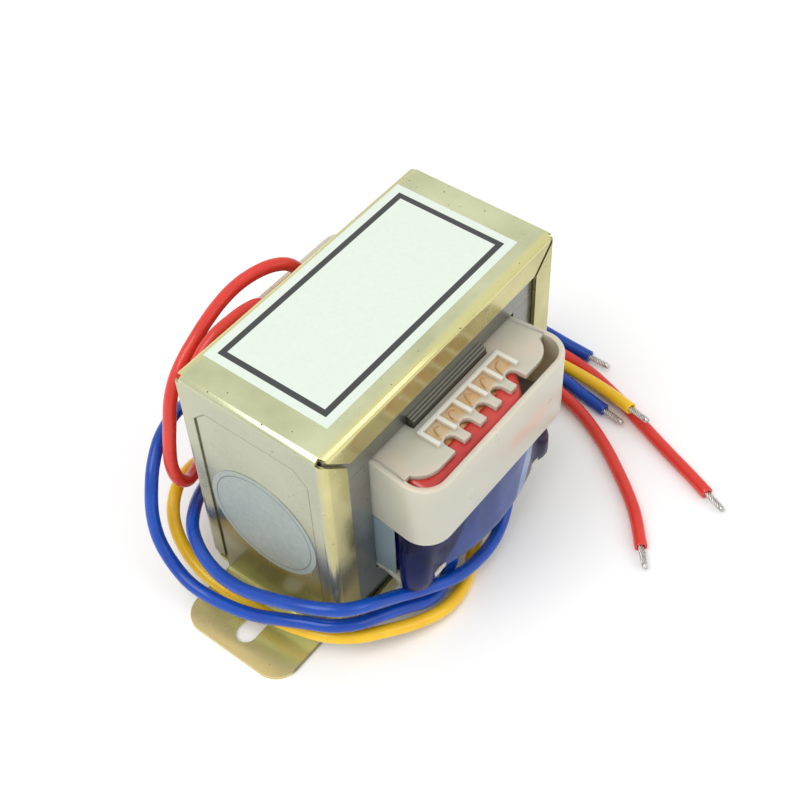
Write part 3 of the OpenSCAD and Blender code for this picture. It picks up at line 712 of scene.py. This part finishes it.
ROUTES = {
    "red_lead_1": [
        (4.7, 21.2, COMB_Z_TOP), (4.7, 21.2, 45.7), (4.1, 21.5, 48.8), (2.3, 22.6, 51.1),
        (-0.6, 24.2, 51.9), (-4.2, 25.9, 51.4), (-8, 27, 50.4), (-12, 27.2, 49.4), (-16, 26.8, 48.5),
        (-19.8, 26.3, 47.3), (-23.4, 26.1, 45.4), (-26.7, 25.9, 42.6), (-29.1, 25.6, 39),
        (-30.8, 25.2, 34.4), (-32.4, 24.8, 29.4), (-33.5, 24.2, 25), (-33.2, 23.6, 21),
        (-31.1, 23.8, 18), (-27.6, 25.2, 16.3), (-23.5, 27.4, 15), (-17.5, 30.3, 12.6), (-10, 32.8, 9),
        (-2, 34.8, 5), (6.5, 36, 2.1), (16, 36.4, 1.4), (26, 35.4, 1.4), (35.4, 32, 1.4),
        (43.6, 26, 1.4), (49.8, 18, 1.4), (52.9, 9, 1.4), (53.6, 0.5, 1.4), (53.2, -8.5, 1.4),
        (52, -17.5, 1.4), (49.4, -26, 1.4), (46, -34.5, 1.4), (43, -42, 1.4), (40, -50, 1.4),
        (38, -55, 1.4)],
    "red_lead_2": [
        (-4.7, 21.2, COMB_Z_TOP), (-4.7, 21.2, 44), (-5.5, 21.2, 47), (-7.7, 21.3, 49.2),
        (-10.8, 21.6, 50), (-14.4, 22, 49.9), (-18, 22.5, 49.2), (-21.5, 22.7, 47.6),
        (-24.7, 22.5, 45), (-27.1, 22.1, 41.4), (-28, 21.7, 37), (-28.2, 21.2, 31), (-27.8, 20.8, 25),
        (-27, 20.4, 19), (-26.2, 20.2, 13.5), (-24.8, 20.2, 9), (-21.8, 21, 5.2), (-17, 22.6, 2.7),
        (-10, 24.4, 1.5), (0, 25.4, 1.4), (10, 25.4, 1.4), (20, 24.6, 1.4), (28.6, 22.3, 1.5),
        (35.4, 18, 2), (40.2, 11.6, 2.5), (42.8, 4, 2.4), (43.6, -4.5, 2.4), (43.1, -12.5, 2.4),
        (41.2, -21.5, 1.5), (37, -30, 1.4), (31.4, -38, 1.4), (25.5, -45, 1.4), (18.5, -51, 1.4)],
    "blue_lead_1": [
        (9.4, -24.7, COMB_Z_LOW), (9.3, -24.8, 10.5), (7.6, -25.6, 7.2), (4.2, -26.7, 5.4),
        (0, -27.7, 5.1), (-4.8, -27.9, 5.2), (-11.4, -27.6, 6.8), (-18.2, -25.4, 8.9),
        (-24.6, -22.9, 11.5), (-30.5, -21.4, 14.9), (-34.6, -19.2, 16.3), (-37.4, -15.4, 16.5),
        (-39.2, -10.5, 15.7), (-40.4, -5, 14.1), (-41, 0.5, 12.4), (-40.9, 6, 11.3),
        (-40.2, 10.5, 11.2), (-38.8, 14.6, 11.8), (-36.6, 18.2, 12.4), (-33.4, 21, 12.2),
        (-29.2, 23.8, 10.8), (-24, 26.4, 8.4), (-17.5, 28.1, 5.4), (-9, 28.9, 2.7), (0, 29, 1.5),
        (10, 29, 1.4), (20, 28.2, 1.4), (28.8, 25.8, 1.4), (36.6, 21.2, 1.4), (42.4, 14.8, 2.2),
        (45.6, 7, 2.5), (46.6, -2, 2.4), (46.6, -11, 2.4), (45.7, -19, 1.6), (44.6, -26, 1.4)],
    "blue_lead_2": [
        (-9.4, -24.7, COMB_Z_LOW), (-9.4, -24.7, 9.8), (-10.1, -24.7, 6.7), (-12.1, -25, 4.5),
        (-15, -25.5, 3.7), (-19, -25.2, 4.8), (-23, -23.9, 6.8), (-27.8, -22.1, 8.6),
        (-32.6, -20.2, 10), (-36.3, -16.9, 10.6), (-38.6, -12.3, 10.3), (-40.5, -7.5, 9.3),
        (-42, -2.5, 7.7), (-43, 3, 6.6), (-43.6, 8.5, 6.1), (-43.8, 13.5, 6.7), (-43.3, 18, 8.9),
        (-42.3, 21.8, 12.4), (-40.8, 24, 17), (-38.6, 25.4, 21.6), (-35.4, 27.2, 25),
        (-30.8, 29.4, 26.9), (-25, 31.6, 26.4), (-19, 33.8, 23.4), (-12.5, 36, 18.8),
        (-5.5, 37.9, 13.4), (2, 39.2, 8.2), (10, 40, 4.2), (18, 40.18, 1.9), (26.4, 39.4, 1.4),
        (35.2, 36.4, 1.4), (43.6, 31.2, 1.4), (50.6, 24, 1.4), (54.8, 15.4, 1.4), (56.5, 6.5, 1.4),
        (56.6, -2, 1.4), (56.2, -9, 1.4), (56, -15, 1.4)],
    "yellow_lead": [
        (0, -24.7, COMB_Z_LOW), (0, -24.7, 10), (-0.8, -24.6, 6.1), (-3.1, -25.1, 3),
        (-6.8, -26.8, 1.7), (-11.5, -28.1, 1.6), (-17, -28.1, 2.1), (-23, -26.2, 3.4),
        (-28.6, -23.3, 4.9), (-33.4, -20, 5.9), (-36.8, -15.7, 6.4), (-38.6, -10, 5.9),
        (-39.3, -4, 4.8), (-39.5, 2, 4), (-39.6, 8, 3.8), (-39.6, 13.5, 4.4), (-39, 18.4, 6.6),
        (-37.6, 22.2, 9.8), (-35.2, 24.8, 12.8), (-31.2, 26.9, 14.4), (-26, 28.6, 13.2),
        (-20.5, 30.1, 10.2), (-14, 31.4, 6.6), (-6, 32.4, 3.3), (3, 32.8, 1.7), (14, 32.9, 1.4),
        (24.8, 31.6, 1.4), (34.2, 28.2, 1.4), (41.8, 22.5, 1.4), (47.2, 15.2, 1.4), (50, 7, 1.4),
        (50.6, -1.5, 1.4), (50.1, -9, 1.7), (49.2, -17, 2.6), (47.8, -24.5, 3.6), (46, -31.5, 4.4)],
}
LEADS = ("red_lead_1", "red_lead_2", "blue_lead_1", "blue_lead_2", "yellow_lead")


def lead(name, slot, seed):
    """One insulated lead with its bare twisted end."""
    draw = random.Random(seed)
    radius, dents = LEAD_D / 2 * LEAD_FIT, 0.012
    path = smooth_path(ROUTES[name], 0.9)
    frames = frames_along(path)
    rings = [(point, u, v, radius * (1 - dents * draw.random())) for point, u, v in frames]
    # the cut end of the insulation: a slightly rounded rim and a hole round the strands
    end, u, v = frames[-1]
    way = u.cross(v)
    rings[-1] = (end - 0.12 * way, u, v, radius)
    for back, share in ((0.03, 0.97), (0.0, 0.90), (0.02, 0.62), (0.5, 0.55)):
        rings.append((end - back * way, u, v, radius * share))
    tube = stand_for(placed(name + "_tube", sweep(rings, 20)), slot, name)
    bare = stand_for(placed(name + "_bare", strands(end, way, u, v)), "tinned_copper", name + "_strands")


def strands(start, way, u, v):
    """Strands twisted round a straight one, with their ends run together by solder."""
    wire_r = STRAND_BUNDLE_D / 6
    begin, length, steps = -0.45, BARE_LENGTH + 0.4, 26
    parts = []
    for wire in range(STRANDS):
        out = 0 if wire == 0 else 2 * wire_r
        line = []
        for k in range(steps + 1):
            share = k / steps
            turn = 2 * math.pi * (wire / (STRANDS - 1) + STRAND_TWIST * share)
            pinch = 1 - 0.3 * max(0, share - 0.85) / 0.15
            aside = math.cos(turn) * u + math.sin(turn) * v
            line.append(start + way * (begin + length * share) + out * pinch * aside)
        parts.append(sweep([(p, a, b, wire_r * 1.02) for p, a, b in frames_along(line)], 8))
    tip = []
    for share, r in ((0.0, 0.75), (0.3, 1.0), (0.75, 0.95), (1.0, 0.55)):
        tip.append((start + way * (BARE_LENGTH - TIP_LENGTH * (1 - share)), u, v, STRAND_BUNDLE_D / 2 * r))
    parts.append(sweep(tip, 12))
    return joined(*parts)


# ---------- the dressed part ----------

stand_for(placed("shroud", shroud()), "nylon", "winding_shroud")
stand_for(placed("upper_tape", upper_tape()), "red_tape", "primary_tape")
stand_for(placed("upper_turns", joined(upper_turns(), wire_tails())), "copper", "primary_winding")
stand_for(placed("lower_tape", lower_tape()), "blue_tape", "secondary_tape")
stand_for(placed("lower_turns", lower_turns()), "copper", "secondary_winding")

for node, width in (("frame_cover", 0.18), ("base_channel", 0.18), ("bobbin", 0.16), ("core_shims", 0.08)):
    soften(node, width)

for seed, name in enumerate(LEADS):
    lead(name, name.split("_")[0] + "_insulation", seed)

for part in frame["record"]["subparts"]:
    node = frame["nodes"][part["node"]]
    if not node.hide_render:
        dress(node, part["material_slot"])
frame["nodes"]["core_shims"].data.materials[0] = SHIM_STEEL

# ---------- camera, lamps, floor and backdrop ----------

CAMERA_PLACE = (-129.2, -114.1, 230.9)
CAMERA_AZIMUTH, CAMERA_ELEVATION, CAMERA_ROLL = (math.radians(a) for a in (-49.96, 49.54, -3.0))
SENSOR = 36
FOCAL = 61.6
# metres and watts from here on
LAMP_TARGET = Vector((0, 0, 0.03))
FLOOR_HALF = 3
WHITE = (1, 1, 1, 1)


def add_camera():
    back = Vector((math.sin(CAMERA_AZIMUTH) * math.cos(CAMERA_ELEVATION),
                   -math.cos(CAMERA_AZIMUTH) * math.cos(CAMERA_ELEVATION),
                   math.sin(CAMERA_ELEVATION)))
    level = Vector((0, 0, 1)).cross(back).normalized()
    upright = back.cross(level)
    right = math.cos(CAMERA_ROLL) * level + math.sin(CAMERA_ROLL) * upright
    data = bpy.data.cameras.new("camera")
    data.sensor_width = SENSOR
    data.lens = FOCAL
    data.clip_start = 0.01
    camera = bpy.data.objects.new("camera", data)
    turn = Matrix((right, back.cross(right), back)).transposed().to_4x4()
    camera.matrix_world = Matrix.Translation(at(*CAMERA_PLACE)) @ turn
    bpy.context.scene.collection.objects.link(camera)
    bpy.context.scene.camera = camera


def add_lamp(name, place, side, power):
    """A square lamp that shines on the part."""
    data = bpy.data.lights.new(name, "AREA")
    data.shape = "RECTANGLE"
    data.size, data.size_y = side, side
    data.energy = power
    lamp = bpy.data.objects.new(name, data)
    lamp.location = place
    lamp.rotation_euler = (LAMP_TARGET - Vector(place)).to_track_quat("-Z", "Y").to_euler()
    bpy.context.scene.collection.objects.link(lamp)


def add_floor():
    corners = [(FLOOR_HALF * x, FLOOR_HALF * y, 0) for x, y in ((-1, -1), (1, -1), (1, 1), (-1, 1))]
    floor = mesh_object("floor", corners, [(0, 1, 2, 3)], False)
    look = Shader("floor")
    look.set(Base_Color=(0.97, 0.97, 0.97), Roughness=0.9)
    floor.data.materials.append(look.material)


def add_world():
    """A soft white sky that the camera sees as a plain white backdrop."""
    world = bpy.data.worlds.new("world")
    world.use_nodes = True
    nodes, links = world.node_tree.nodes, world.node_tree.links
    sky = nodes["Background"]
    sky.inputs["Color"].default_value = WHITE
    sky.inputs["Strength"].default_value = 0.8
    backdrop = nodes.new("ShaderNodeBackground")
    backdrop.inputs["Color"].default_value = WHITE
    chosen = nodes.new("ShaderNodeMixShader")
    links.new(nodes.new("ShaderNodeLightPath").outputs["Is Camera Ray"], chosen.inputs["Fac"])
    links.new(sky.outputs["Background"], chosen.inputs[1])
    links.new(backdrop.outputs["Background"], chosen.inputs[2])
    links.new(chosen.outputs["Shader"], nodes["World Output"].inputs["Surface"])
    bpy.context.scene.world = world


add_camera()
add_floor()
add_lamp("key", (-0.5, 0.1, 0.9), 0.7, 4.5)
add_lamp("fill", (0.2, -0.9, 0.6), 0.6, 1.5)
add_world()
bpy.context.scene.view_settings.view_transform = "Standard"
